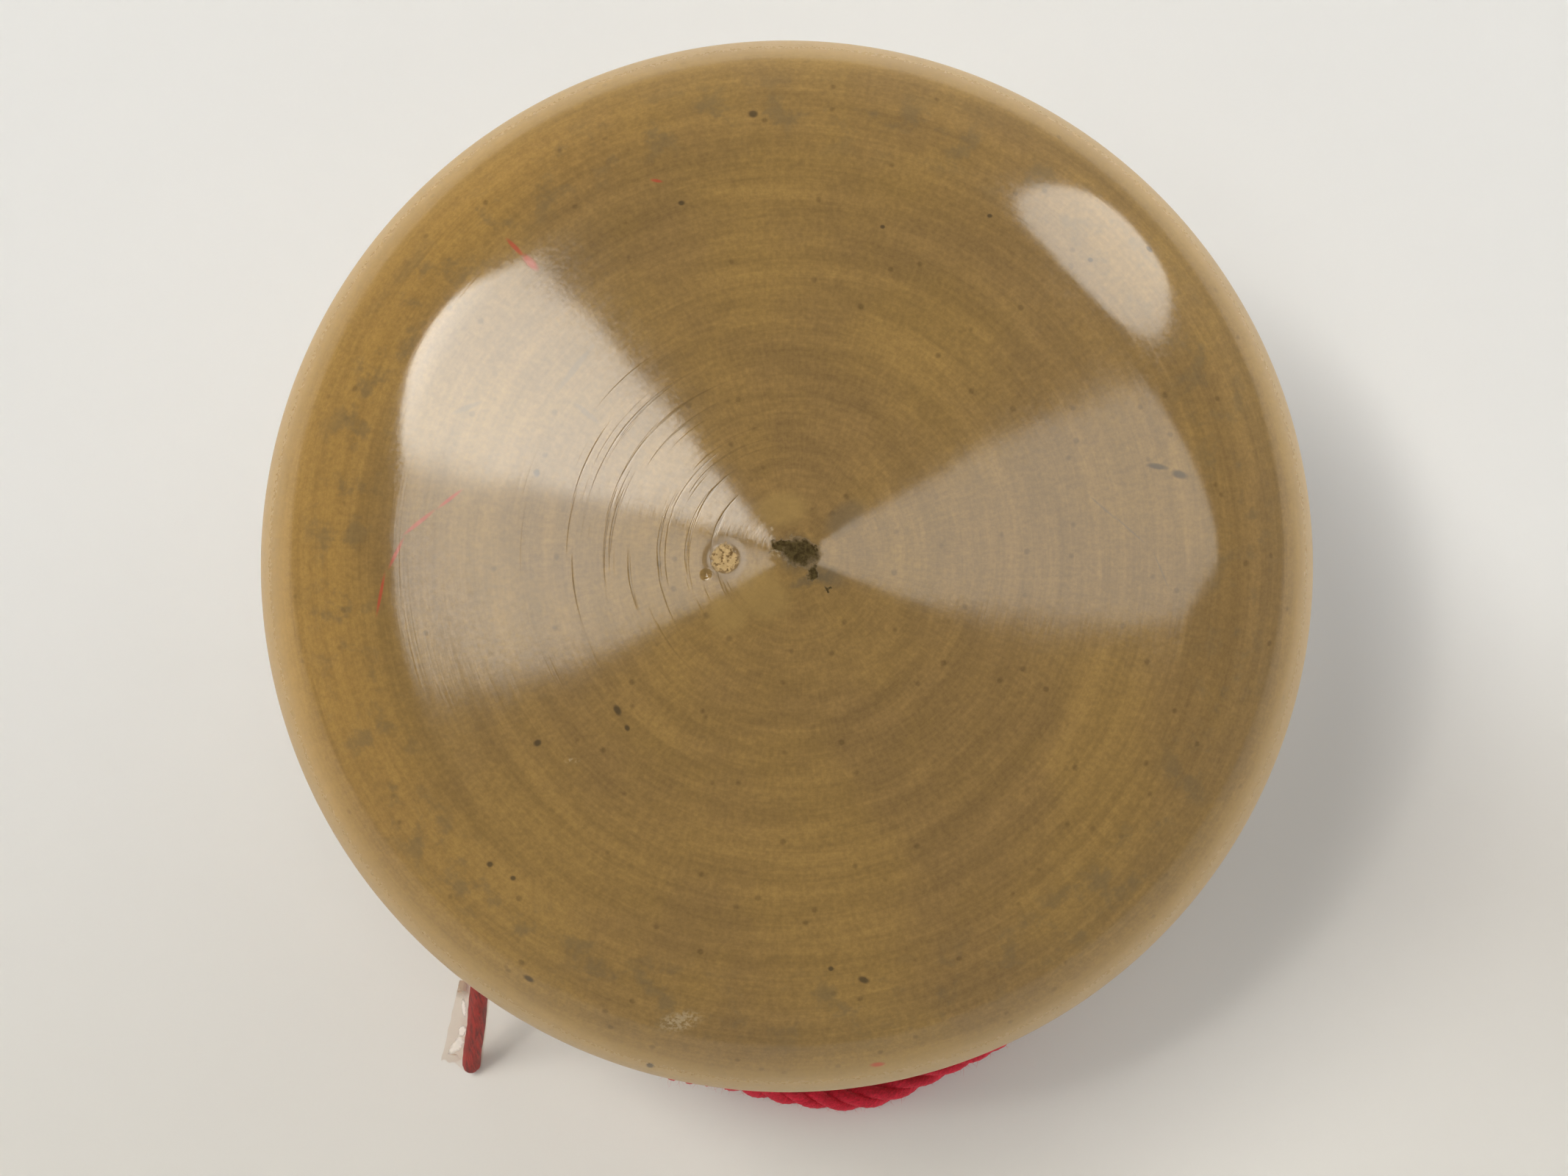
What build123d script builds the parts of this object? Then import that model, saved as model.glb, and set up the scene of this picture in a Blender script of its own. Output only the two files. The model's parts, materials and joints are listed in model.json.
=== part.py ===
from build123d import *
import os
from math import cos, pi, radians, sin, tan

# A turned wooden yo-yo lying on a table: two cone-faced halves on a glued dowel axle, a red string
# wound on the axle with its last turn hanging loose, and clear tape round the string's free end.
#
# Row frame: the table is z = 0 and the origin lies on it, right under the yo-yo's centre. The yo-yo
# rests on one straight line of its lower cone, so its axle leans by the cone's slope towards -Y.
# Turned frame: the axle is the Z axis and the middle of the string gap is z = 0.
# Lengths are in millimetres, angles in degrees.

# Driving dimensions of the two halves
DIAMETER = 57.0             # across the rims: the usual 2 1/4 inch wooden yo-yo
HALF_WIDTH = 17.0           # from the middle of the string gap to a face's point
CONE_SLOPE = 11.0           # fall of the straight face, away from its point
CONE_RADIUS = 20.5          # where the straight face runs into the shoulder
SHOULDER_SLOPE = 45.0       # slope where the shoulder's large arc meets the rim's smaller one
RIM_RADIUS = 5.8            # the rim's arc, from the shoulder to the widest circle
GAP_WIDTH = 3.8             # string gap, between the two halves, at the axle
GAP_SLOPE = 1.7             # each inner face opens outwards by this much
MARK_RADIUS = 0.9           # point of the lathe's centre, pressed into each face
MARK_DEPTH = 0.6

# Axle: a hardwood dowel glued into a blind socket in each half
AXLE_RADIUS = 4.0
AXLE_LENGTH = 22.0
AXLE_CHAMFER = 0.4
SOCKET_END_ROOM = 0.5       # glue room past the dowel's end

# String: twisted cotton, a loop round the axle and then turn upon turn
STRING_DIAMETER = 1.5
WOUND_RADIUS = 13.6         # outside of the wound turns
WOUND_CORNER = 0.7          # roundness of the outermost turn
AXLE_CLEARANCE = 0.08       # the string's loop runs on the axle
SIDE_CLEARANCE = 0.25       # between the wound turns and each half

# Route of the loose string, from the wound turns to its free end, in the row frame: out of the gap
# at the front, down to the table, back into the gap, once round inside it, and out at the left.
LOOSE_STRING = [
    (-7.9, 10.1, 17.8),
    (-12.4, 5.1, 16.8),
    (-15.1, -2.4, 15.2),
    (-15.2, -11.4, 13.3),
    (-13.0, -19.5, 11.8),
    (-9.8, -25.2, 10.8),
    (-6.6, -27.5, 7.5),
    (-3.9, -27.5, 3.0),
    (0.0, -28.5, 0.8),
    (5.2, -29.1, 0.8),
    (9.6, -26.9, 1.4),
    (13.3, -25.5, 5.2),
    (16.1, -22.7, 10.6),
    (18.8, -14.5, 12.8),
    (20.2, -4.3, 14.7),
    (17.8, 6.2, 16.8),
    (10.6, 14.1, 18.4),
    (0.2, 17.4, 19.0),
    (-10.4, 14.5, 18.4),
    (-18.0, 6.6, 16.8),
    (-21.9, -4.0, 14.7),
    (-20.7, -14.6, 12.7),
    (-16.8, -20.9, 12.5),
    (-18.5, -26.9, 0.4),
]
CORNER_SHARE = 0.45         # share of the shorter run that each bend takes up

# Clear tape: wrapped round the string's end, its two ends pressed together into a flag
TAPE_LENGTH = 9.8           # along the string
TAPE_THICKNESS = 0.1
FLAG_THICKNESS = 0.2
FLAG_TOP = 1.7              # from the string's centre to the flag's edge, at the upper end
FLAG_FOOT = 2.2             # and at the string's tip
TAPE_FOOT = 0.1             # the wrap stops this far short of the string's tip

RIM = DIAMETER / 2
HALF_GAP = GAP_WIDTH / 2
STRING_RADIUS = STRING_DIAMETER / 2

# Where the turned frame lies in the row frame
LYING = Location((0, 0, HALF_WIDTH * cos(radians(CONE_SLOPE))), (CONE_SLOPE, 0, 0))


def shoulder_radius():
    """Radius of the arc that joins the straight face to the rim's arc, tangent to both."""
    across = RIM - CONE_RADIUS - RIM_RADIUS * (1 - sin(radians(SHOULDER_SLOPE)))
    return across / (sin(radians(SHOULDER_SLOPE)) - sin(radians(CONE_SLOPE)))


def edge_radius(rim_height):
    """Radius of the arc from the widest circle to the inner face, tangent to both."""
    slope = radians(GAP_SLOPE)
    room = rim_height - HALF_GAP - tan(slope) * (RIM - AXLE_RADIUS)
    return room / (cos(slope) - tan(slope) * (1 - sin(slope)))


def turned_half():
    """The upper half, in the turned frame: a section on one side of the axle's line, revolved."""
    slope = tan(radians(CONE_SLOPE))
    socket_end = AXLE_LENGTH / 2 + SOCKET_END_ROOM
    face = Line(
        (MARK_RADIUS, HALF_WIDTH - MARK_RADIUS * slope),
        (CONE_RADIUS, HALF_WIDTH - CONE_RADIUS * slope),
    )
    shoulder = JernArc(face @ 1, face % 1, shoulder_radius(), CONE_SLOPE - SHOULDER_SLOPE)
    rim = JernArc(shoulder @ 1, shoulder % 1, RIM_RADIUS, SHOULDER_SLOPE - 90)
    edge = JernArc(rim @ 1, rim % 1, edge_radius((rim @ 1).Y), GAP_SLOPE - 90)
    inside = Polyline(
        edge @ 1,
        (AXLE_RADIUS, HALF_GAP),
        (AXLE_RADIUS, socket_end),
        (0, socket_end),
        (0, HALF_WIDTH - MARK_DEPTH),
        face @ 0,
    )
    section = make_face([face, shoulder, rim, edge, inside])
    return revolve(Plane.XZ * section, Axis.Z)


def dowel():
    """The axle, in the turned frame."""
    rod = Cylinder(AXLE_RADIUS, AXLE_LENGTH)
    return chamfer(rod.edges().filter_by(GeomType.CIRCLE), AXLE_CHAMFER)


def wound_turns():
    """The outer shape of the turns on the axle, in the turned frame, clear of both halves."""
    bore = AXLE_RADIUS + AXLE_CLEARANCE
    opening = tan(radians(GAP_SLOPE))
    inner = HALF_GAP - SIDE_CLEARANCE
    outer = inner + opening * (WOUND_RADIUS - AXLE_RADIUS)
    section = make_face(
        Polyline(
            (bore, -inner),
            (WOUND_RADIUS, -outer),
            (WOUND_RADIUS, outer),
            (bore, inner),
            close=True,
        )
    )
    rounded = fillet(section.vertices().group_by(Axis.X)[-1], WOUND_CORNER)
    return revolve(Plane.XZ * rounded, Axis.Z)


def corner_radii(points):
    """The bend's radius at each inner point: CORNER_SHARE of its shorter run over tan(turn / 2)."""
    radii = []
    for before, corner, after in zip(points, points[1:], points[2:]):
        came = Vector(*corner) - Vector(*before)
        goes = Vector(*after) - Vector(*corner)
        half_turn = radians(came.get_angle(goes)) / 2
        radii.append(CORNER_SHARE * min(came.length, goes.length) / tan(half_turn))
    return radii


def string_tube(points):
    """The loose string: a round tube along straight runs joined by tangent arcs."""
    radii = corner_radii(points)
    path = FilletPolyline(*points, radius=radii)
    tube = sweep(Plane(origin=path @ 0, z_dir=path % 0) * Circle(STRING_RADIUS), path=path)
    print("loose string: length", round(path.length, 1), "bends", [round(r, 1) for r in radii])
    print("volume over section times length", tube.volume / (pi * STRING_RADIUS**2 * path.length))
    return tube


def tape_wrap(bend, tip):
    """Clear tape round the string's straight end, with its flag towards -X."""
    upward = (Vector(*bend) - Vector(*tip)).normalized()
    aside = Vector(-1, 0, 0)
    outward = (aside - upward * aside.dot(upward)).normalized()
    foot = Vector(*tip) + upward * TAPE_FOOT
    # A frame at the tape's foot: X points out to the flag's edge and Z up along the string.
    at_foot = Plane(origin=foot, x_dir=outward, z_dir=upward)
    wrap_radius = STRING_RADIUS + TAPE_THICKNESS
    length = TAPE_LENGTH - TAPE_FOOT
    wrap = extrude(Circle(wrap_radius) - Circle(STRING_RADIUS), length)
    flag_outline = make_face(
        Polyline(
            (STRING_RADIUS + TAPE_THICKNESS / 2, 0),
            (FLAG_FOOT, 0),
            (FLAG_TOP, length),
            (STRING_RADIUS + TAPE_THICKNESS / 2, length),
            close=True,
        )
    )
    flag = extrude(Plane.XZ * flag_outline, FLAG_THICKNESS / 2, both=True)
    return at_foot * (wrap + flag)


def main():
    half = turned_half()
    parts = {
        "upper_half": LYING * half,
        "lower_half": LYING * mirror(half, Plane.XY),
        "axle": LYING * dowel(),
        "wound_string": LYING * wound_turns(),
        "loose_string": string_tube(LOOSE_STRING),
        "end_tape": tape_wrap(LOOSE_STRING[-2], LOOSE_STRING[-1]),
    }
    os.makedirs("parts", exist_ok=True)
    for name, shape in parts.items():
        shape.label = name
        export_step(shape, f"parts/{name}.step")


main()
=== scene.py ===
"""A turned wooden yo-yo lying on one side of its lower cone, with its red string hanging out.

Everything is in the row frame, in metres: the table is z = 0 and the yo-yo's centre is over the
origin. The turned frame has the axle as its Z axis and the middle of the string gap at z = 0.
"""

import json
import random
from math import cos, pi, radians, sin, sqrt, tan

import bpy
import numpy as np
from mathutils import Matrix, Vector, noise


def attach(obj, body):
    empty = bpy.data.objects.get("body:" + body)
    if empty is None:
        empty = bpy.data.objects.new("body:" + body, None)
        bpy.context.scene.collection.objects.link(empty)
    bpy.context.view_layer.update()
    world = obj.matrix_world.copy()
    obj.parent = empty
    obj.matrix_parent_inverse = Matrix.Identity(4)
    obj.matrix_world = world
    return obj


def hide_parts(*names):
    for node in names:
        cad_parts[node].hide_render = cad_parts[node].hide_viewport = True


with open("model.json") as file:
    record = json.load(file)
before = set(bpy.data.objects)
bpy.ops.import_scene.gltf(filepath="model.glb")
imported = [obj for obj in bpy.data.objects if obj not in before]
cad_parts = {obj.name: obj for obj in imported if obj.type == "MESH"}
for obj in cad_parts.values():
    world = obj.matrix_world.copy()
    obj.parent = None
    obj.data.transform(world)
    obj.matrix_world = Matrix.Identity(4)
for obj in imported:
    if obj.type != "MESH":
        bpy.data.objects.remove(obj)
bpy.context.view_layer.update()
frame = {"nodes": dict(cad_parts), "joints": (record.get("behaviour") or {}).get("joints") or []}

MM = 0.001

# Where the turned frame lies in the row frame: the axle's joint gives its middle and direction.
SPIN = frame["joints"][0]
AXLE_MIDDLE = Vector(SPIN["pos_m"])
AXLE_LINE = Vector(SPIN["axis"])
ACROSS = Vector((1, 0, 0))
BEHIND = AXLE_LINE.cross(ACROSS)
LYING = Matrix.Translation(AXLE_MIDDLE) @ Matrix((ACROSS, BEHIND, AXLE_LINE)).transposed().to_4x4()

# The two halves, in millimetres and degrees, as the CAD model has them
RIM = 28.5                  # radius of the widest circle
HALF_WIDTH = 17.0
CONE_SLOPE = 11.0
CONE_RADIUS = 20.5
SHOULDER_SLOPE = 45.0
RIM_RADIUS = 5.8
HALF_GAP = 1.9
GAP_SLOPE = 1.7
AXLE_RADIUS = 4.0
SOCKET_END = 11.5

# The string, in millimetres
STRING_DIAMETER = 1.5
PLIES = 3
LAY_LENGTH = 5.4            # one full twist of the plies
FIRST_TURN_RADIUS = 4.85    # the loop on the axle
LAST_TURN_RADIUS = 12.9
LAST_TURN_ANGLE = 128.0     # where the wound turns end, round the axle
TURN_GROWTH = 0.65          # two turns lie side by side, pressed a little into the ones below
TURN_OFFSET = 0.8           # of those two, from the middle of the gap
POINTS_PER_TURN = 14

# Route of the loose string: the CAD model's points, with the two where the front bight goes back
# into the gap 0.3 mm further in, and one more, the last but one, where the tape holds it straight
LOOSE_STRING = [
    (-7.9, 10.1, 17.8),
    (-12.4, 5.1, 16.8),
    (-15.1, -2.4, 15.2),
    (-15.2, -11.4, 13.3),
    (-13.0, -19.5, 11.8),
    (-9.8, -25.2, 10.8),
    (-6.6, -27.5, 7.5),
    (-3.9, -27.5, 3.0),
    (0.0, -28.5, 0.8),
    (5.2, -29.1, 0.8),
    (9.6, -26.9, 1.4),
    (13.1, -25.3, 5.2),
    (15.9, -22.5, 10.6),
    (18.8, -14.5, 12.8),
    (20.2, -4.3, 14.7),
    (17.8, 6.2, 16.8),
    (10.6, 14.1, 18.4),
    (0.2, 17.4, 19.0),
    (-10.4, 14.5, 18.4),
    (-18.0, 6.6, 16.8),
    (-21.9, -4.0, 14.7),
    (-20.7, -14.6, 12.7),
    (-16.8, -20.9, 12.5),
    (-17.2, -22.2, 9.8),
    (-18.5, -26.9, 0.4),
]
TAPED_LENGTH = 9.8          # straight end of the string, under the tape
TAPED_DIAMETER = 1.14
TAPED_START = 1.2           # the string is drawn tight over this much above the tape


# ---------------------------------------------------------------- camera

CAMERA_PLACE = (-3.47, -34.91, 168.6)
CAMERA_TARGET = (-0.13, -1.17, 16.7)
CAMERA_LENS = 63.5


def make_camera():
    """A close view from above and a little in front, level with the table's X axis."""
    data = bpy.data.cameras.new("camera")
    data.lens = CAMERA_LENS
    data.sensor_width = 36
    data.clip_start = 10 * MM
    data.clip_end = 20
    camera = bpy.data.objects.new("camera", data)
    bpy.context.scene.collection.objects.link(camera)
    place = Vector(CAMERA_PLACE) * MM
    ahead = (Vector(CAMERA_TARGET) * MM - place).normalized()
    right = ahead.cross(Vector((0, 1, 0))).normalized()
    upward = right.cross(ahead)
    axes = Matrix((right, upward, -ahead)).transposed().to_4x4()
    camera.matrix_world = Matrix.Translation(place) @ axes
    bpy.context.scene.camera = camera


# ---------------------------------------------------------------- meshes


def new_piece(name, vertices, faces, materials):
    """A smooth mesh object from points in metres, linked to the scene."""
    mesh = bpy.data.meshes.new(name)
    mesh.from_pydata([tuple(v) for v in vertices], [], faces)
    mesh.shade_smooth()
    for material in materials:
        mesh.materials.append(material)
    piece = bpy.data.objects.new(name, mesh)
    bpy.context.scene.collection.objects.link(piece)
    return piece


def tube_faces(rings, around, first=0):
    """Quads between rings of around points each, the first point being number first."""
    faces = []
    for ring in range(rings - 1):
        low = first + ring * around
        for k in range(around):
            after = (k + 1) % around
            faces.append((low + k, low + after, low + around + after, low + around + k))
    return faces


# ---------------------------------------------------------------- string


def wound_route(draw):
    """Control points of the turns on the axle, from the loop outwards, in metres."""
    turns = (LAST_TURN_RADIUS - FIRST_TURN_RADIUS) / TURN_GROWTH
    count = int(turns * POINTS_PER_TURN)
    points = []
    for k in range(count):
        left = turns * (1 - k / count)
        angle = radians(LAST_TURN_ANGLE) - 2 * pi * left
        radius = LAST_TURN_RADIUS - TURN_GROWTH * left + draw.uniform(-0.07, 0.07)
        # The string crosses from one side of the gap to the other once in each turn, and the
        # place of the crossing wanders from turn to turn.
        phase = 1.5 - left + 0.22 * (sin(1.7 * left + 0.6) - sin(0.6))
        side = max(-1, min(1, 2.6 * sin(pi * phase)))
        height = TURN_OFFSET * side + draw.uniform(-0.05, 0.05)
        in_gap = Vector((radius * cos(angle), radius * sin(angle), height)) * MM
        points.append(LYING @ in_gap)
    return points


def string_route():
    """The whole string as one NURBS curve, from its loop on the axle to its free end."""
    points = wound_route(random.Random(11)) + [Vector(p) * MM for p in LOOSE_STRING]
    data = bpy.data.curves.new("string_route", "CURVE")
    data.dimensions = "3D"
    data.resolution_u = 10
    spline = data.splines.new("NURBS")
    spline.points.add(len(points) - 1)
    for place, point in zip(spline.points, points):
        place.co = (*point, 1)
    spline.order_u = 3
    spline.use_endpoint_u = True
    return data


def read_route(data):
    """The points that the curve's own line runs through."""
    holder = bpy.data.objects.new("route_reader", data)
    bpy.context.scene.collection.objects.link(holder)
    line = bpy.data.meshes.new_from_object(holder)
    points = np.array([v.co for v in line.vertices])
    bpy.data.objects.remove(holder)
    return points


def even_steps(points, step):
    """Points at even distances along a line, and their distances from its start."""
    gone = np.concatenate([[0], np.cumsum(np.linalg.norm(np.diff(points, axis=0), axis=1))])
    along = np.linspace(0, gone[-1], int(gone[-1] / step) + 1)
    return np.stack([np.interp(along, gone, points[:, k]) for k in range(3)], axis=1), along


def carried_frames(points):
    """At each point of a line, two directions across it that turn as little as they can."""
    ahead = np.gradient(points, axis=0)
    ahead /= np.linalg.norm(ahead, axis=1)[:, None]
    side = Vector(ahead[0]).orthogonal().normalized()
    first, second = [], []
    for direction in ahead:
        direction = Vector(direction)
        side = (side - direction * side.dot(direction)).normalized()
        first.append(side)
        second.append(direction.cross(side))
    return np.array(first), np.array(second)


STRAND_STEP = 0.4 * MM
STRAND_AROUND = 12
PLY_OFFSET = 0.34           # from the string's middle to a ply's, in millimetres
PLY_RADIUS = 0.41
PRESSED = 0.18              # the tape presses the plies this much nearer, and as much fuller
TAPED_LAY = 2.2             # and their twist is longer by this many times itself


def make_string(data):
    """Twisted plies that follow the route, drawn tighter and straighter under the tape."""
    line = read_route(data)
    points, along = even_steps(line, STRAND_STEP)
    first, second = carried_frames(points)
    length = along[-1]
    tight_from = length - (TAPED_LENGTH + TAPED_START) * MM
    taped = np.clip((along - tight_from) / (TAPED_START * MM), 0, 1)
    size = 1 + (TAPED_DIAMETER / STRING_DIAMETER - 1) * taped
    lay = LAY_LENGTH * MM * (1 + TAPED_LAY * taped)
    twist = np.concatenate([[0], np.cumsum(2 * pi * STRAND_STEP / lay[1:])])
    vertices, faces, grain = [], [], []
    for ply in range(PLIES):
        start = len(vertices)
        for k, point in enumerate(points):
            swell = 1 + 0.05 * noise.noise(Vector((along[k] / MM * 0.35, ply * 9.0, 0)))
            offset = (PLY_OFFSET - PRESSED * taped[k]) * MM * size[k]
            thick = (PLY_RADIUS + PRESSED * taped[k]) * MM * size[k] * swell
            turn = twist[k] + 2 * pi * ply / PLIES
            out = first[k] * cos(turn) + second[k] * sin(turn)
            over = second[k] * cos(turn) - first[k] * sin(turn)
            middle = point + out * offset
            for j in range(STRAND_AROUND):
                angle = 2 * pi * j / STRAND_AROUND
                edge = out * cos(angle) + over * sin(angle)
                vertices.append(middle + edge * thick)
                # Fibres run round the ply the other way, so the grain is turned against it.
                spin = angle + 2.6 * turn
                grain.append((cos(spin), sin(spin), along[k] / MM * 0.25 + ply * 7))
        faces += tube_faces(len(points), STRAND_AROUND, start)
        last = start + (len(points) - 1) * STRAND_AROUND
        faces.append(tuple(reversed(range(start, start + STRAND_AROUND))))
        faces.append(tuple(range(last, last + STRAND_AROUND)))
    string = new_piece("cotton_string", vertices, faces, [red_cotton()])
    fibre = string.data.attributes.new("fibre", "FLOAT_VECTOR", "POINT")
    fibre.data.foreach_set("vector", np.array(grain, np.float32).ravel())
    under = string.data.attributes.new("taped", "FLOAT", "POINT")
    on_points = np.repeat(np.tile(taped, PLIES), STRAND_AROUND)
    under.data.foreach_set("value", on_points.astype(np.float32))
    return string, line, points, length


FIBRES = 900
FIBRE_STEPS = 4


def make_fuzz(points):
    """Short loose fibres that stand out of the string where it hangs outside the yo-yo."""
    first, second = carried_frames(points)
    ahead = np.gradient(points, axis=0)
    draw = random.Random(23)
    outside = [k for k in range(len(points) // 2, len(points) - 30) if points[k][1] < -20 * MM]
    vertices, faces = [], []
    for _ in range(FIBRES):
        k = draw.choice(outside)
        angle = draw.uniform(0, 2 * pi)
        out = Vector(first[k] * cos(angle) + second[k] * sin(angle))
        forward = Vector(ahead[k]).normalized()
        heading = (out + forward * draw.uniform(-1.6, 1.6)).normalized()
        place = Vector(points[k]) + out * 0.5 * MM
        curl = Vector([draw.uniform(-1, 1) for _ in range(3)])
        length = draw.uniform(0.2, 0.75) * MM
        thick = draw.uniform(0.006, 0.01) * MM
        start = len(vertices)
        for step in range(FIBRE_STEPS + 1):
            side = heading.orthogonal().normalized()
            other = heading.cross(side)
            width = thick * (1 - 0.8 * step / FIBRE_STEPS)
            for j in range(3):
                turn = 2 * pi * j / 3
                vertices.append(place + (side * cos(turn) + other * sin(turn)) * width)
            heading = (heading + curl * 0.25).normalized()
            place = place + heading * length / FIBRE_STEPS
            place.z = max(place.z, 0.02 * MM)
        last = start + 3 * FIBRE_STEPS
        faces += tube_faces(FIBRE_STEPS + 1, 3, start)
        faces.append((start + 2, start + 1, start))
        faces.append((last, last + 1, last + 2))
    return new_piece("string_fuzz", vertices, faces, [red_cotton()])


# ---------------------------------------------------------------- tape

FILM = 0.05                 # thickness, in millimetres
FLAG_TOP = 1.2              # from the string's middle to the flag's edge
FLAG_FOOT = 1.8
FLAG_START = 0.95           # where the two sides of the film meet
WRAP_RADIUS = TAPED_DIAMETER / 2 + 0.04
LEAVING_ANGLE = 52.0        # where the film leaves the string
BACK_SHEET = 9.0            # marks the back sheet of the flag, beyond the reach of any mark


def film_section(edge):
    """Across the film, (out, over) in millimetres: flag, round the string, and flag again."""
    half_film = FILM * 0.55
    leaving = radians(LEAVING_ANGLE)
    turns = np.linspace(leaving, 2 * pi - leaving, 25)
    round_string = [(WRAP_RADIUS * cos(t), WRAP_RADIUS * sin(t)) for t in turns]
    flag = [(out, half_film) for out in np.linspace(edge, FLAG_START, 8)]
    slope = [(1 - k / 4) * np.array(flag[-1]) + k / 4 * np.array(round_string[0]) for k in (1, 2, 3)]
    one_side = flag + [tuple(p) for p in slope]
    return one_side + round_string + [(out, -over) for out, over in reversed(one_side)]


def make_tape(points):
    """Clear film wrapped round the string's straight end, its two ends stuck into a flag."""
    tip = Vector(points[-1])
    top = Vector(points[-1 - int(TAPED_LENGTH * MM / STRAND_STEP)])
    upward = (top - tip).normalized()
    outward = (Vector((-1, 0, 0)) - upward * upward.dot(Vector((-1, 0, 0)))).normalized()
    other = upward.cross(outward)
    along = 60
    vertices, faces, places = [], [], []
    for i in range(along + 1):
        share = i / along
        edge = FLAG_FOOT + (FLAG_TOP - FLAG_FOOT) * share
        edge += 0.07 * noise.noise(Vector((share * 9, 0, 3)))
        section = film_section(edge)
        for out, over in section:
            # The marks are all on the sheet that faces the front.
            sheet = 0 if over > 0 else BACK_SHEET
            height = 0.15 + share * (TAPED_LENGTH - 0.2)
            in_flag = soft_step(out, WRAP_RADIUS * 0.6, edge)
            # The flag is a little wavy, and its foot was cut roughly.
            over += 0.16 * in_flag * noise.noise(Vector((out * 0.9, height * 0.55, 1)))
            ragged = noise.noise(Vector((out * 3.4, 4.0, 0)))
            ragged += 0.4 * noise.noise(Vector((out * 9, 0, 7)))
            height += in_flag * (1 - share) ** 8 * (0.15 + 0.4 * ragged)
            vertices.append(tip + (outward * out + other * over + upward * height) * MM)
            places.append((out, height, sheet))
    width = len(section)
    for i in range(along):
        for k in range(width - 1):
            low = i * width + k
            faces.append((low, low + 1, low + width + 1, low + width))
    tape = new_piece("clear_tape", vertices, faces, [clear_film()])
    on_film = tape.data.attributes.new("film", "FLOAT_VECTOR", "POINT")
    on_film.data.foreach_set("vector", np.array(places, np.float32).ravel())
    solid = tape.modifiers.new("thickness", "SOLIDIFY")
    solid.thickness = FILM * MM
    solid.offset = 0
    return tape


# ---------------------------------------------------------------- wooden halves

AROUND = 400                # points in each turned circle
PITH = {"upper": (-3.5, -0.1), "lower": (2.9, -2.2)}
PITH_RADIUS = 0.7


def arc_points(start, slope, radius, turn, steps):
    """Points on an arc that starts at a downward slope, in degrees, and bends down by turn."""
    centre = (start[0] - radius * sin(radians(slope)), start[1] - radius * cos(radians(slope)))
    points = []
    for k in range(1, steps + 1):
        angle = radians(slope + turn * k / steps)
        points.append((centre[0] + radius * sin(angle), centre[1] + radius * cos(angle)))
    return points


def half_outline():
    """Section of one half, (radius, height), from beside the face's point to the socket's end."""
    fall = tan(radians(CONE_SLOPE))
    fine = np.arange(0.06, 6.0, 0.085)
    coarse = np.linspace(6.0, CONE_RADIUS, 46)
    outline = [(r, HALF_WIDTH - r * fall) for r in [*fine, *coarse]]
    slope = sin(radians(SHOULDER_SLOPE))
    shoulder = (RIM - CONE_RADIUS - RIM_RADIUS * (1 - slope)) / (slope - sin(radians(CONE_SLOPE)))
    outline += arc_points(outline[-1], CONE_SLOPE, shoulder, SHOULDER_SLOPE - CONE_SLOPE, 22)
    outline += arc_points(outline[-1], SHOULDER_SLOPE, RIM_RADIUS, 90 - SHOULDER_SLOPE, 16)
    opening = radians(GAP_SLOPE)
    room = outline[-1][1] - HALF_GAP - tan(opening) * (RIM - AXLE_RADIUS)
    edge = room / (cos(opening) - tan(opening) * (1 - sin(opening)))
    outline += arc_points(outline[-1], 90, edge, 90 - GAP_SLOPE, 14)
    inner = outline[-1][0]
    for r in np.linspace(inner, AXLE_RADIUS + 0.05, 24)[1:]:
        outline.append((r, HALF_GAP + tan(opening) * (r - AXLE_RADIUS)))
    outline += [(AXLE_RADIUS, z) for z in (HALF_GAP, HALF_GAP + 0.1, 6.0, SOCKET_END - 0.1, SOCKET_END)]
    return outline


def soft_step(value, low, high):
    """0 below low, 1 above high and smooth between them."""
    share = min(1, max(0, (value - low) / (high - low)))
    return share * share * (3 - 2 * share)


def face_relief(x, y, pith):
    """How far the worn face stands above its true cone, in millimetres."""
    place = Vector((x, y, 0))
    radius = sqrt(x * x + y * y)
    # The lathe's centre left a shallow torn dimple.
    torn = sqrt((x - 0.1) ** 2 + (1.35 * (y - 0.2)) ** 2) + 0.3 * noise.noise(place * 1.9)
    crumbs = noise.noise(place * 3.2 + Vector((0, 0, 3))) + 0.5 * noise.noise(place * 7.0)
    relief = -(0.06 + 0.035 * crumbs) * (1 - soft_step(torn, 0.3, 1.4))
    # The pith is soft and crumbly, with a shallow trough round it.
    off_pith = (place - Vector((*pith, 0))).length
    grit = noise.noise(place * 4.5) + 0.7 * noise.noise(place * 9.0 + Vector((5, 0, 0)))
    relief += 0.1 * grit * (1 - soft_step(off_pith, 0.7 * PITH_RADIUS, PITH_RADIUS))
    trough = soft_step(off_pith, 0.9 * PITH_RADIUS, 1.1 * PITH_RADIUS)
    relief -= 0.012 * trough * (1 - soft_step(off_pith, 1.15 * PITH_RADIUS, 1.7 * PITH_RADIUS))
    # A small pit beside it.
    pit = (place - Vector((pith[0] - 0.9, pith[1] - 0.8, 0))).length
    relief -= 0.07 * (1 - soft_step(pit, 0.1, 0.28))
    # Slow waves of the turned and hand-sanded surface.
    relief += 0.006 * noise.noise(place * 0.35) * soft_step(radius, 1, 4)
    relief += 0.0012 * noise.noise(Vector((radius * 1.1, 0, 0)))
    return relief


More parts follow.
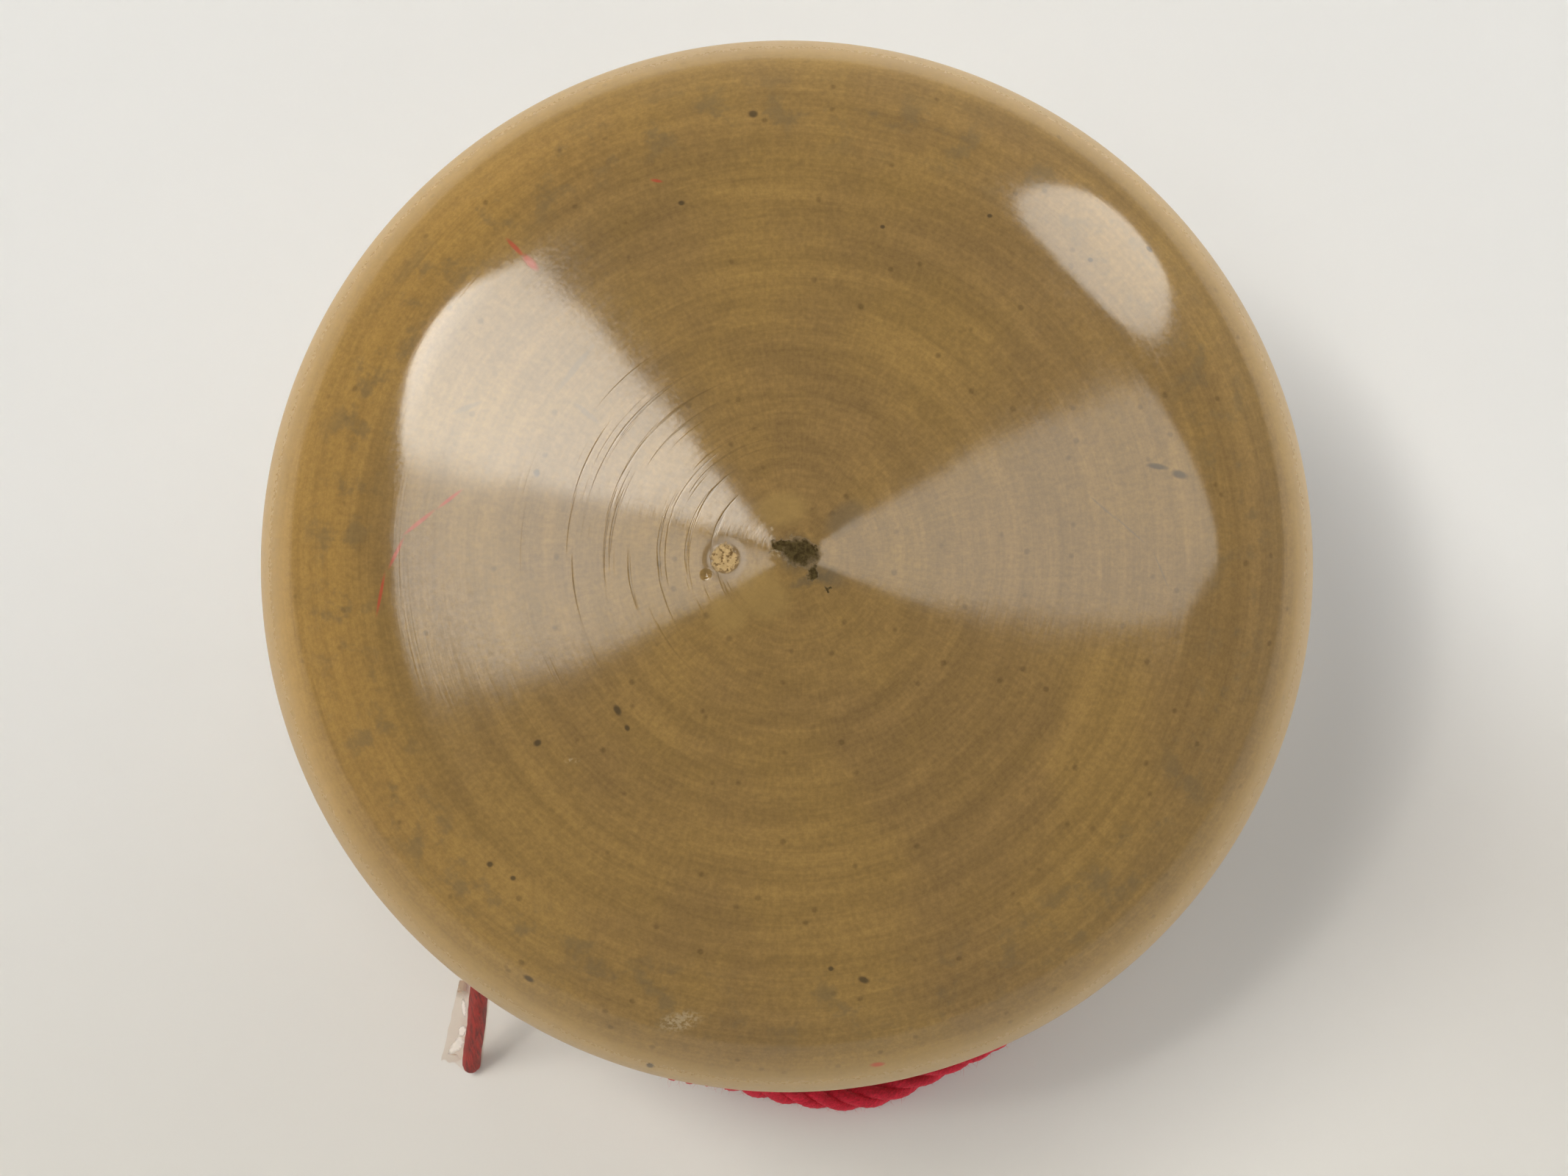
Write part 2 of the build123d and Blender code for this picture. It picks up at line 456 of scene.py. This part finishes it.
def make_half(name, side, pith, material):
    """One turned half; side is 1 for the upper one and -1 for the lower one."""
    outline = half_outline()
    last_face_ring = sum(1 for r, z in outline if z > 9.5)
    turned = [(0, 0, side * (HALF_WIDTH + face_relief(0, 0, pith)))]
    for ring, (r, z) in enumerate(outline):
        for k in range(AROUND):
            angle = 2 * pi * k / AROUND
            x, y = r * cos(angle), r * sin(angle)
            lift = face_relief(x, y, pith) if ring < last_face_ring else 0
            turned.append((x, y, side * (z + lift)))
    last = 1 + (len(outline) - 1) * AROUND
    faces = [(0, 1 + k, 1 + (k + 1) % AROUND) for k in range(AROUND)]
    faces += [(a, d, c, b) for a, b, c, d in tube_faces(len(outline), AROUND, 1)]
    faces.append(tuple(range(last, last + AROUND)))
    if side < 0:
        faces = [tuple(reversed(f)) for f in faces]
    half = new_piece(name, [LYING @ (Vector(p) * MM) for p in turned], faces, [material])
    # The wood's figure follows the place in the turned frame, in millimetres.
    in_turned = half.data.attributes.new("turned", "FLOAT_VECTOR", "POINT")
    in_turned.data.foreach_set("vector", np.array(turned, np.float32).ravel())
    return half


# ---------------------------------------------------------------- materials


class Shade:
    """Adds nodes to one material. Inputs are sockets, numbers or tuples."""

    def __init__(self, name):
        self.material = bpy.data.materials.new(name)
        self.material.use_nodes = True
        self.tree = self.material.node_tree
        self.tree.nodes.clear()
        self.output = self.tree.nodes.new("ShaderNodeOutputMaterial")

    def put(self, kind, inputs=(), **settings):
        """A new node with these settings; inputs are (socket, value) pairs."""
        node = self.tree.nodes.new("ShaderNode" + kind)
        for key, value in settings.items():
            setattr(node, key, value)
        for socket, value in inputs:
            self.feed(node.inputs[socket], value)
        return node

    def feed(self, socket, value):
        if isinstance(value, bpy.types.NodeSocket):
            self.tree.links.new(value, socket)
        else:
            socket.default_value = value

    def math(self, operation, *values):
        return self.put("Math", enumerate(values), operation=operation).outputs[0]

    def vector(self, operation, *values):
        node = self.put("VectorMath", enumerate(values), operation=operation)
        return node.outputs["Value" if operation in ("LENGTH", "DOT_PRODUCT", "DISTANCE") else 0]

    def scaled(self, vector, factor):
        node = self.put("VectorMath", [(0, vector), ("Scale", factor)], operation="SCALE")
        return node.outputs[0]

    def join(self, x, y, z):
        return self.put("CombineXYZ", enumerate((x, y, z))).outputs[0]

    def between(self, value, low, high, to_low=0.0, to_high=1.0):
        """Smoothly from to_low at low to to_high at high."""
        inputs = [("Value", value), ("From Min", low), ("From Max", high)]
        inputs += [("To Min", to_low), ("To Max", to_high)]
        return self.put("MapRange", inputs, interpolation_type="SMOOTHSTEP").outputs[0]

    def noise(self, vector, scale, detail=2.0, roughness=0.5):
        inputs = [("Vector", vector), ("Scale", scale), ("Detail", detail), ("Roughness", roughness)]
        return self.put("TexNoise", inputs).outputs["Fac"]

    def mix(self, share, first, second, blend="MIX"):
        """Colours first and second mixed by share."""
        node = self.put("Mix", data_type="RGBA", blend_type=blend)
        for socket, value in ((0, share), (6, first), (7, second)):
            self.feed(node.inputs[socket], value)
        return node.outputs[2]

    def finish(self, surface):
        self.tree.links.new(surface.outputs[0], self.output.inputs["Surface"])
        return self.material


def tone(red, green, blue):
    """A linear colour with full alpha."""
    return (red, green, blue, 1)


def mark_mask(shade, flat, mark, inner=0.45, outer=1.15):
    """1 on a soft elliptical mark: (x, y, length, width, angle) in millimetres and degrees."""
    x, y, length, width, angle = mark
    placed = shade.put(
        "Mapping",
        [
            ("Vector", flat),
            ("Location", (x, y, 0)),
            ("Rotation", (0, 0, radians(angle))),
            ("Scale", (length / 2, width / 2, 1)),
        ],
        vector_type="TEXTURE",
    ).outputs[0]
    reach = shade.vector("LENGTH", placed)
    return shade.between(reach, inner, outer, 1.0, 0.0)


def all_marks(shade, flat, marks, inner=0.45, outer=1.15):
    """The masks of several marks as one."""
    total = mark_mask(shade, flat, marks[0], inner, outer)
    for mark in marks[1:]:
        total = shade.math("MAXIMUM", total, mark_mask(shade, flat, mark, inner, outer))
    return total


# Marks on the upper face: (x, y, length, width, angle) in millimetres and degrees, in the turned
# frame. The lower face has only its centre mark and its pith.
DARK_SPECKS = [
    (-2.1, 23.3, 0.6, 0.5, 0),
    (-5.8, 18.4, 0.4, 0.3, 0),
    (-13.1, 4.3, 0.4, 0.5, 0),
    (-8.9, -7.8, 0.7, 0.4, -60),
    (-8.4, -8.7, 0.4, 0.3, -60),
    (-13.0, -9.5, 0.5, 0.4, 30),
    (3.8, -21.7, 0.7, 0.4, -20),
    (2.1, -21.1, 0.35, 0.3, 0),
    (-7.3, -26.7, 0.5, 0.4, 0),
    (18.8, 16.5, 0.5, 0.3, -45),
    (-13.6, -21.9, 0.7, 0.35, -30),
    (-15.5, -15.8, 0.4, 0.35, 0),
    (-14.3, -16.5, 0.35, 0.3, 0),
    (15.5, 15.7, 0.35, 0.3, 0),
    (4.6, 17.2, 0.3, 0.25, 0),
    (10.2, 17.9, 0.35, 0.25, 0),
    (18.9, 4.9, 1.3, 0.35, -8),
    (20.1, 4.5, 1.0, 0.5, -15),
]
RED_STROKES = [
    (-14.4, 16.1, 1.5, 0.28, -46),
    (-13.6, 15.3, 1.3, 0.5, -46),
    (-7.1, 19.6, 0.7, 0.2, -10),
    (-17.6, 3.0, 1.7, 0.22, 37),
    (-19.2, 1.8, 2.2, 0.26, 38),
    (-20.4, 0.2, 1.9, 0.22, 64),
    (-21.2, -1.9, 2.4, 0.2, 79),
    (4.7, -26.5, 0.9, 0.3, 5),
]
GREY_SMUDGES = [
    (2.6, 2.0, 2.8, 1.6, 40),
    (1.7, -0.9, 2.2, 1.2, -30),
    (-16.8, 7.7, 1.8, 0.35, 22),
    (-11.2, 9.7, 3.2, 0.4, 52),
    (-10.6, 7.4, 1.9, 0.35, -40),
    (16.0, 2.7, 2.2, 0.14, -40),
    (17.4, 1.6, 2.6, 0.12, -40),
    (19.1, -0.5, 2.2, 0.12, -66),
]
PALE_SCUFFS = [
    (-5.7, -24.0, 2.6, 1.2, 15),
    (-11.2, -10.4, 0.9, 0.3, 5),
    (-1.1, 1.4, 0.2, 0.26, 0),
    (-0.9, 0.15, 0.7, 0.4, -20),
]
YELLOW_PATCHES = [
    (-1.6, -1.9, 3.4, 2.8, -35),
    (-3.3, -2.9, 2.4, 2.2, 0),
    (-0.6, 2.4, 3.0, 2.0, 10),
]
# Dark torn wood where the lathe's centre stood, and the dirt smeared from it
CENTRE_TEARS = [
    (0.35, 0.24, 2.1, 1.6, -15),
    (-0.6, 0.55, 1.4, 0.55, 14),
    (0.95, 0.5, 0.5, 0.4, 0),
    (1.0, -0.85, 0.7, 0.7, 30),
    (1.8, -1.65, 0.28, 0.5, 20),
]
CENTRE_DIRT = [
    (0.2, 0.1, 3.0, 2.2, -15),
    (0.5, -1.3, 1.7, 0.7, 10),
    (1.6, -0.9, 1.3, 0.8, 30),
]


def wood_figure(shade, place, flat, radius, heading, pith, shift):
    """Brightness of the wood: growth rings, the turning tool's arcs, rays and pores."""
    moved = shade.vector("ADD", place, (shift, 0.0, 0.0))
    sway = shade.noise(moved, 0.16, 3.0)
    off_pith = shade.vector("DISTANCE", flat, (*pith, 0.0))
    ring_line = shade.join(shade.math("MULTIPLY_ADD", sway, 2.2, off_pith), shift, 0.0)
    rings = shade.between(shade.noise(ring_line, 0.55, 3.0, 0.6), 0.3, 0.7, 0.93, 1.06)
    bands_in = shade.vector(
        "ADD", shade.scaled(heading, 1.3), shade.join(0.0, shift, shade.math("MULTIPLY", radius, 0.9))
    )
    bands = shade.between(shade.noise(bands_in, 1.4, 4.0, 0.62), 0.3, 0.7, 0.91, 1.08)
    rays_in = shade.vector("ADD", shade.scaled(heading, 50.0), shade.join(0.0, 0.0, radius))
    rays = shade.between(shade.noise(rays_in, 1.1, 2.0, 0.6), 0.3, 0.7, 0.95, 1.045)
    grain = shade.between(shade.noise(moved, 4.2, 3.0, 0.75), 0.3, 0.72, 0.89, 1.1)
    pores = shade.put("TexVoronoi", [("Vector", moved), ("Scale", 0.75), ("Randomness", 1.0)])
    drawn = shade.put("SeparateXYZ", [(0, pores.outputs["Color"])]).outputs[0]
    chosen = shade.math("GREATER_THAN", drawn, 0.45)
    dots = shade.between(pores.outputs["Distance"], 0.06, 0.17, 0.3, 0.0)
    figure = shade.math("SUBTRACT", 1.0, shade.math("MULTIPLY", dots, chosen))
    for part in (rings, bands, rays, grain):
        figure = shade.math("MULTIPLY", figure, part)
    return figure


def tool_lines(shade, radius, heading, shift):
    """Fine arcs of the turning tool all over, and the deeper scratches among them."""
    arcs_in = shade.vector(
        "ADD", shade.scaled(heading, 1.7), shade.join(0.0, shift, shade.math("MULTIPLY", radius, 5.5))
    )
    arcs = shade.noise(arcs_in, 1.0, 3.0, 0.7)
    deep_in = shade.vector(
        "ADD", shade.scaled(heading, 0.8), shade.join(4.0, shift, shade.math("MULTIPLY", radius, 3.6))
    )
    deep = shade.between(shade.noise(deep_in, 1.15, 2.0, 0.55), 0.6, 0.7)
    left = shade.vector("DOT_PRODUCT", heading, (-0.97, 0.24, 0.0))
    where = shade.between(left, 0.2, 0.85, 0.1, 0.75)
    where = shade.math("MULTIPLY", where, shade.between(radius, 2.0, 4.0))
    where = shade.math("MULTIPLY", where, shade.between(radius, 10.5, 15.0, 1.0, 0.1))
    return arcs, shade.math("MULTIPLY", deep, where)


def centre_and_pith(shade, colour, flat, pith, specks):
    """The dark torn mark at the face's point and the crumbly pith beside it."""
    swirling = [("Vector", flat), ("Scale", 2.0), ("Detail", 5.0), ("Roughness", 0.6)]
    swirl = shade.put("TexNoise", swirling)
    away = shade.vector("SUBTRACT", swirl.outputs["Color"], (0.5, 0.5, 0.5))
    ragged = shade.vector("ADD", flat, shade.scaled(away, 1.2))
    dirt = all_marks(shade, ragged, CENTRE_DIRT, 0.2, 1.2)
    colour = shade.mix(shade.math("MULTIPLY", dirt, 0.65), colour, tone(0.12, 0.09, 0.048))
    torn = all_marks(shade, ragged, CENTRE_TEARS, 0.55, 1.15)
    darkest, dark = tone(0.028, 0.019, 0.006), tone(0.075, 0.054, 0.02)
    dark = shade.mix(shade.between(specks, 0.35, 0.65), darkest, dark)
    colour = shade.mix(shade.math("MULTIPLY", torn, 0.93), colour, dark)
    ragged = shade.vector("ADD", flat, shade.scaled(away, 0.7))
    off_pith = shade.vector("DISTANCE", ragged, (*pith, 0.0))
    colour = shade.mix(shade.between(off_pith, 0.7, 1.35, 0.65, 0.0), colour, tone(0.18, 0.115, 0.05))
    between_crumbs, crumb = tone(0.17, 0.1, 0.04), tone(0.52, 0.37, 0.18)
    crumbs = shade.mix(shade.between(specks, 0.36, 0.52), between_crumbs, crumb)
    core = shade.between(off_pith, 0.56, 0.76, 1.0, 0.0)
    return shade.mix(core, colour, crumbs), shade.math("MAXIMUM", torn, core)


WOOD_GREYER = tone(0.222, 0.137, 0.048)
WOOD_GOLDEN = tone(0.262, 0.162, 0.05)
WOOD_WARM = tone(0.33, 0.192, 0.048)
WOOD_DIRT = tone(0.14, 0.102, 0.05)
WOOD_RIM_AND_GLARE = tone(0.5, 0.335, 0.135)


def lacquered_wood(name, pith, worn, shift):
    """Golden end grain under a thin clear lacquer, with the marks of turning and of use."""
    shade = Shade(name)
    place = shade.put("Attribute", attribute_name="turned").outputs["Vector"]
    split = shade.put("SeparateXYZ", [(0, place)])
    flat = shade.join(split.outputs[0], split.outputs[1], 0.0)
    radius = shade.vector("LENGTH", flat)
    heading = shade.vector("NORMALIZE", flat)
    moved = shade.vector("ADD", place, (shift, 0.0, 0.0))
    clouds = shade.noise(moved, 0.11, 4.0, 0.55)
    specks = shade.noise(moved, 4.6, 3.0, 0.6)

    gold = shade.mix(shade.between(clouds, 0.36, 0.64), WOOD_GREYER, WOOD_GOLDEN)
    # The left of the shoulder is a warmer yellow than the rest.
    warm = shade.vector("DOT_PRODUCT", heading, (-0.97, 0.2, 0.0))
    warm = shade.math("MULTIPLY", shade.between(warm, 0.3, 0.95), shade.between(radius, 20.0, 25.0))
    gold = shade.mix(shade.math("MULTIPLY", warm, 0.7), gold, WOOD_WARM)
    figure = wood_figure(shade, place, flat, radius, heading, pith, shift)
    arcs, deep = tool_lines(shade, radius, heading, shift)
    figure = shade.math("MULTIPLY", figure, shade.between(arcs, 0.3, 0.7, 0.95, 1.05))
    # The deep scratches are painted darker too: painted shade in their grooves.
    figure = shade.math("MULTIPLY", figure, shade.between(deep, 0.0, 1.0, 1.0, 0.74))
    colour = shade.mix(1.0, gold, shade.join(figure, figure, figure), "MULTIPLY")

    # Paler towards the rim, partly where the grain is cut along its length and partly as a painted
    # reflection of the pale table, after a dirtier band.
    dirty = shade.math("MULTIPLY", shade.between(radius, 20.5, 23.0), shade.between(radius, 26.5, 24.0))
    blotches = shade.between(shade.noise(moved, 0.5, 4.0, 0.65), 0.5, 0.66, 0.0, 0.5)
    dirty = shade.math("MULTIPLY", dirty, blotches)
    colour = shade.mix(dirty, colour, WOOD_DIRT)
    colour = shade.mix(shade.between(radius, 25.8, 28.3, 0.0, 0.6), colour, WOOD_RIM_AND_GLARE)

    if worn:
        yellow = all_marks(shade, flat, YELLOW_PATCHES, 0.5, 1.2)
        colour = shade.mix(shade.math("MULTIPLY", yellow, 0.45), colour, tone(0.34, 0.225, 0.075))
        smudged = all_marks(shade, flat, GREY_SMUDGES)
        colour = shade.mix(shade.math("MULTIPLY", smudged, 0.4), colour, tone(0.12, 0.095, 0.06))
        specked = all_marks(shade, flat, DARK_SPECKS)
        colour = shade.mix(shade.math("MULTIPLY", specked, 0.8), colour, tone(0.05, 0.035, 0.018))
        reddened = all_marks(shade, flat, RED_STROKES)
        colour = shade.mix(shade.math("MULTIPLY", reddened, 0.7), colour, tone(0.42, 0.05, 0.03))
    colour, open_grain = centre_and_pith(shade, colour, flat, pith, specks)
    if worn:
        scuffed = all_marks(shade, flat, PALE_SCUFFS)
        scuffed = shade.math("MULTIPLY", scuffed, shade.between(specks, 0.4, 0.6))
        colour = shade.mix(shade.math("MULTIPLY", scuffed, 0.5), colour, tone(0.45, 0.36, 0.22))

    # The lacquer takes a little of the tool marks, and has worn off where the wood is torn.
    height = shade.math("ADD", arcs, shade.math("MULTIPLY", specks, 0.6))
    height = shade.math("SUBTRACT", height, shade.math("MULTIPLY", deep, 3.6))
    bump = shade.put("Bump", [("Height", height), ("Strength", 1.0), ("Distance", 0.0016 * MM)])
    sheen = shade.between(specks, 0.3, 0.75, 0.07, 0.15)
    sheen = shade.math("ADD", sheen, shade.between(radius, 26.6, 28.4, 0.0, 0.3))
    gloss = shade.put(
        "BsdfPrincipled",
        [
            ("Base Color", colour),
            ("Roughness", shade.math("MULTIPLY_ADD", open_grain, 0.9, sheen)),
            ("IOR", 1.5),
            ("Specular IOR Level", shade.math("MULTIPLY_ADD", open_grain, -0.45, 0.5)),
            ("Normal", bump.outputs[0]),
        ],
    )
    return shade.finish(gloss)


def bare_wood():
    """The dowel: straight-grained pale hardwood without lacquer."""
    shade = Shade("dowel_wood")
    place = shade.scaled(shade.put("TexCoord").outputs["Object"], 1000.0)
    streaks = shade.noise(shade.vector("MULTIPLY", place, (3.0, 3.0, 0.25)), 1.0, 4.0, 0.6)
    colour = shade.mix(streaks, tone(0.35, 0.22, 0.1), tone(0.52, 0.38, 0.2))
    bump = shade.put("Bump", [("Height", streaks), ("Distance", 0.02 * MM)])
    inputs = [("Base Color", colour), ("Roughness", 0.6), ("Normal", bump.outputs[0])]
    return shade.finish(shade.put("BsdfPrincipled", inputs))


def red_cotton():
    """Bright red twisted cotton, browner and smoother where the tape's glue has soaked in."""
    if "red_cotton_yarn" in bpy.data.materials:
        return bpy.data.materials["red_cotton_yarn"]
    shade = Shade("red_cotton_yarn")
    fibre = shade.put("Attribute", attribute_name="fibre").outputs["Vector"]
    taped = shade.put("Attribute", attribute_name="taped").outputs["Fac"]
    strands = shade.noise(fibre, 3.5, 3.0, 0.7)
    shades = shade.between(strands, 0.3, 0.7)
    red = shade.mix(shades, tone(0.4, 0.002, 0.014), tone(0.74, 0.012, 0.045))
    brown = shade.mix(shades, tone(0.13, 0.003, 0.002), tone(0.46, 0.018, 0.012))
    colour = shade.mix(taped, red, brown)
    bump = shade.put("Bump", [("Height", strands), ("Distance", 0.06 * MM)])
    yarn = shade.put(
        "BsdfPrincipled",
        [
            ("Base Color", colour),
            ("Roughness", 0.8),
            ("Sheen Weight", shade.math("MULTIPLY_ADD", taped, -0.2, 0.2)),
            ("Sheen Roughness", 0.4),
            ("Sheen Tint", tone(1.0, 0.35, 0.35)),
            ("Normal", bump.outputs[0]),
        ],
    )
    return shade.finish(yarn)


# Marks on the film: (out from the string, height, length, width, angle), in millimetres
# Creases: whitened partly by the creasing itself and partly as painted glints of light beside the
# string.
FILM_CREASES_AND_GLINTS = [
    (0.78, 6.9, 1.9, 0.3, 84),
    (0.75, 4.3, 1.6, 0.36, 100),
    (0.98, 2.4, 2.8, 0.6, 104),
]
FILM_DIRT = [
    (1.0, 9.2, 3.0, 1.2, 90),
    (1.12, 8.5, 0.5, 0.4, 0),
    (1.1, 1.15, 0.9, 0.18, 10),
]


def clear_film():
    """Thin clear plastic, whitish in its creases, partly as painted glints, and brownish where dirt is
    stuck to it.
    """
    shade = Shade("clear_film")
    film = shade.put("Attribute", attribute_name="film").outputs["Vector"]
    away = shade.noise(film, 2.2, 3.0)
    ragged = shade.vector("ADD", film, shade.scaled(shade.join(away, 0.0, 0.0), 0.3))
    ragged = shade.vector("SUBTRACT", ragged, (0.15, 0.0, 0.0))
    crease_and_glint = all_marks(shade, ragged, FILM_CREASES_AND_GLINTS, 0.6, 1.05)
    dirt = all_marks(shade, ragged, FILM_DIRT, 0.3, 1.1)
    clear = shade.put("BsdfTransparent", [("Color", tone(0.975, 0.955, 0.935))])
    gloss = shade.put("BsdfGlossy", [("Color", tone(1.0, 1.0, 1.0)), ("Roughness", 0.1)])
    # Whitish film for the creases, partly their own whitening and partly a painted glint.
    front = shade.put("BsdfDiffuse", [("Color", tone(0.98, 0.95, 0.9))])
    through = shade.put("BsdfTranslucent", [("Color", tone(0.98, 0.95, 0.9))])
    glint_white = shade.put("MixShader", [(0, 0.5), (1, front.outputs[0]), (2, through.outputs[0])])
    brown = shade.put("BsdfTranslucent", [("Color", tone(0.7, 0.5, 0.32))])
    turned_away = shade.put("LayerWeight", [("Blend", 0.5)]).outputs["Facing"]
    mirrored = shade.math("MULTIPLY_ADD", shade.math("POWER", turned_away, 4.0), 0.08, 0.012)
    film_look = shade.put("MixShader", [(0, mirrored), (1, clear.outputs[0]), (2, gloss.outputs[0])])
    crease_glint_mix = shade.math("MULTIPLY", crease_and_glint, 0.9)
    crease_glint_mix = shade.put("MixShader", [(0, crease_glint_mix), (1, film_look.outputs[0]), (2, glint_white.outputs[0])])
    soiled = shade.math("MULTIPLY", dirt, 0.4)
    look = shade.put("MixShader", [(0, soiled), (1, crease_glint_mix.outputs[0]), (2, brown.outputs[0])])
    return shade.finish(look)


# ---------------------------------------------------------------- floor and light

LIGHT_HEIGHT = 3.0          # metres above the table
LIGHT_COLOUR = (1.0, 0.955, 0.87)
# Each panel: its brightness, or the two at its inner and its outer end, what it lights, and its
# corners as metres across and back for each metre up. A mirrored panel shows only in the lacquer
# and the film, and a matt one lights everything and shows in nothing.
LIGHT_PANELS = {
    "main_panel": (
        (9.2, 15.8),
        "all",
        [
            (-0.25, 0.13),
            (-0.29, 0.27),
            (-0.76, 0.49),
            (-0.89, 0.32),
            (-0.63, 0.03),
            (-0.5, -0.04),
            (-0.37, -0.01),
        ],
    ),
    "left_panel": (
        (3.4, 6.2),
        "all",
        [(-0.36, -0.01), (-0.58, -0.01), (-0.58, -0.27), (-0.5, -0.39), (-0.34, -0.39)],
    ),
    "lamp": (
        220.0,
        "matt",
        [(-0.56, -0.06), (-0.44, -0.06), (-0.44, 0.06), (-0.56, 0.06)],
    ),
    "right_panel": (
        3.5,
        "mirrored",
        [(0.36, 0.09), (0.62, 0.13), (1.3, -0.13), (0.62, -0.23), (0.44, -0.35), (0.34, -0.12)],
    ),
    "back_panel": (
        7.2,
        "mirrored",
        [(0.34, 0.26), (0.75, 0.25), (2.15, 1.4), (2.8, 2.44), (2.24, 2.63), (0.64, 0.94)],
    ),
    "top_panel": (
        3.0,
        "matt",
        [(-0.2, -0.3), (0.25, -0.3), (0.25, 0.15), (-0.2, 0.1)],
    ),
}
DARK_ROOM = 0.2             # the room as the lacquer mirrors it
WALL_LIGHT = 2.0            # pale walls, low down on every side
BACK_WALL_LIGHT = 4.2       # more of it from the back right
BACK_WALL = (0.64, 0.77, 0.0)


def rounded(corners, rounds=3):
    """The outline with its corners cut again and again, a quarter from each end of every side."""
    for _ in range(rounds):
        cut = []
        for k, (x, y) in enumerate(corners):
            u, v = corners[(k + 1) % len(corners)]
            cut += [(x + (u - x) * share, y + (v - y) * share) for share in (0.25, 0.75)]
        corners = cut
    return corners


def light_panel(name, brightness, lights, corners):
    """A flat soft light above the table, out of the camera's sight."""
    shade = Shade(name)
    if isinstance(brightness, tuple):
        along = shade.put("SeparateXYZ", [(0, shade.put("TexCoord").outputs["Object"])]).outputs[0]
        reach = [x * LIGHT_HEIGHT for x, y in corners]
        brightness = shade.between(along, max(reach), min(reach), *brightness)
    glow = shade.put("Emission", [("Color", tone(*LIGHT_COLOUR)), ("Strength", brightness)])
    places = [(x * LIGHT_HEIGHT, y * LIGHT_HEIGHT, LIGHT_HEIGHT) for x, y in rounded(corners)]
    panel = new_piece(name, places, [tuple(range(len(places)))], [shade.finish(glow)])
    panel.visible_camera = False
    panel.visible_diffuse = lights != "mirrored"
    panel.visible_glossy = lights != "matt"


def world_node(tree, kind, inputs, **settings):
    """A new node of the world; inputs are (socket, value) pairs."""
    node = tree.nodes.new("ShaderNode" + kind)
    for key, value in settings.items():
        setattr(node, key, value)
    for socket, value in inputs:
        if isinstance(value, bpy.types.NodeSocket):
            tree.links.new(value, node.inputs[socket])
        else:
            node.inputs[socket].default_value = value
    return node.outputs[0]


def make_room():
    """Light from pale walls low down all round, most of it from the back right."""
    world = bpy.data.worlds.new("room")
    world.use_nodes = True
    tree = world.node_tree
    background = tree.nodes["Background"]
    background.inputs["Color"].default_value = tone(1.0, 1.0, 1.0)
    heading = tree.nodes.new("ShaderNodeTexCoord").outputs["Generated"]
    toward = tree.nodes.new("ShaderNodeVectorMath")
    toward.operation = "DOT_PRODUCT"
    toward.inputs[1].default_value = BACK_WALL
    tree.links.new(heading, toward.inputs[0])
    facing = world_node(tree, "Math", [(0, toward.outputs["Value"]), (1, 0.0)], operation="MAXIMUM")
    walls = [(0, facing), (1, BACK_WALL_LIGHT), (2, WALL_LIGHT)]
    walls = world_node(tree, "Math", walls, operation="MULTIPLY_ADD")
    upward = tree.nodes.new("ShaderNodeSeparateXYZ")
    tree.links.new(heading, upward.inputs[0])
    low = [("Value", upward.outputs[2]), ("From Min", 0.5), ("From Max", 0.1)]
    low = world_node(tree, "MapRange", low, interpolation_type="SMOOTHSTEP")
    walls = world_node(tree, "Math", [(0, walls), (1, low)], operation="MULTIPLY")
    walls = world_node(tree, "Math", [(0, walls), (1, 0.05)], operation="ADD")
    mirrored = tree.nodes.new("ShaderNodeLightPath").outputs["Is Glossy Ray"]
    seen = [("Value", mirrored), ("To Min", walls), ("To Max", DARK_ROOM)]
    tree.links.new(world_node(tree, "MapRange", seen), background.inputs["Strength"])
    bpy.context.scene.world = world
    bpy.context.scene.view_settings.view_transform = "Standard"


TABLE_REACH = 1.5           # metres from the middle to each edge
# Painted shade on the table's cloth, beside and in front of the yo-yo: (x, y, length, width, angle) in
# millimetres and degrees
PAINTED_CLOTH_SHADE = [
    (46, -15, 60, 46, 0),
    (8, -39, 44, 20, 5),
]


def make_table():
    """A plain pale cloth, with painted shade in soft patches beside the yo-yo and towards the front."""
    shade = Shade("table")
    place = shade.scaled(shade.put("TexCoord").outputs["Object"], 1000.0)
    soft = shade.noise(place, 0.02, 2.0)
    # Painted shade: the cloth is painted darker towards the front.
    front = shade.between(shade.put("SeparateXYZ", [(0, place)]).outputs[1], 10.0, -45.0)
    colour = shade.mix(soft, tone(0.73, 0.74, 0.745), tone(0.78, 0.79, 0.795))
    colour = shade.mix(front, colour, tone(0.69, 0.68, 0.65))
    # Painted shade: soft darker patches of the cloth to the right of the yo-yo and in front of it.
    painted_shade = all_marks(shade, place, PAINTED_CLOTH_SHADE, 0.0, 1.0)
    colour = shade.mix(shade.math("MULTIPLY", painted_shade, 0.45), colour, tone(0.47, 0.445, 0.41))
    matt = shade.put("BsdfPrincipled", [("Base Color", colour), ("Roughness", 0.75)])
    reach = TABLE_REACH
    corners = [(-reach, -reach, 0), (reach, -reach, 0), (reach, reach, 0), (-reach, reach, 0)]
    table = new_piece("table", corners, [(0, 1, 2, 3)], [shade.finish(matt)])


def make_surroundings():
    """The table, the light panels and the light of the room."""
    make_table()
    for name, (brightness, lights, corners) in LIGHT_PANELS.items():
        light_panel(name, brightness, lights, corners)
    make_room()


# ---------------------------------------------------------------- the yo-yo


def main():
    make_camera()
    string, line, steps, length = make_string(string_route())
    fuzz = make_fuzz(steps)
    tape = make_tape(steps)
    for piece, slot in ((string, "red_cotton"), (fuzz, "red_cotton"), (tape, "clear_tape")):
        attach(piece, "string")
    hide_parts("wound_string", "loose_string")
    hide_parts("end_tape")
    print("string length", round(length, 4))
    for side, node in ((1, "upper"), (-1, "lower")):
        wood = lacquered_wood(f"{node}_half_wood", PITH[node], side > 0, 40.0 * (1 - side))
        half = make_half(f"turned_{node}_half", side, PITH[node], wood)
        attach(half, "spool")
        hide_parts(f"{node}_half")
    axle = frame["nodes"]["axle"]
    axle.data.materials.clear()
    axle.data.materials.append(bare_wood())
    make_surroundings()


main()
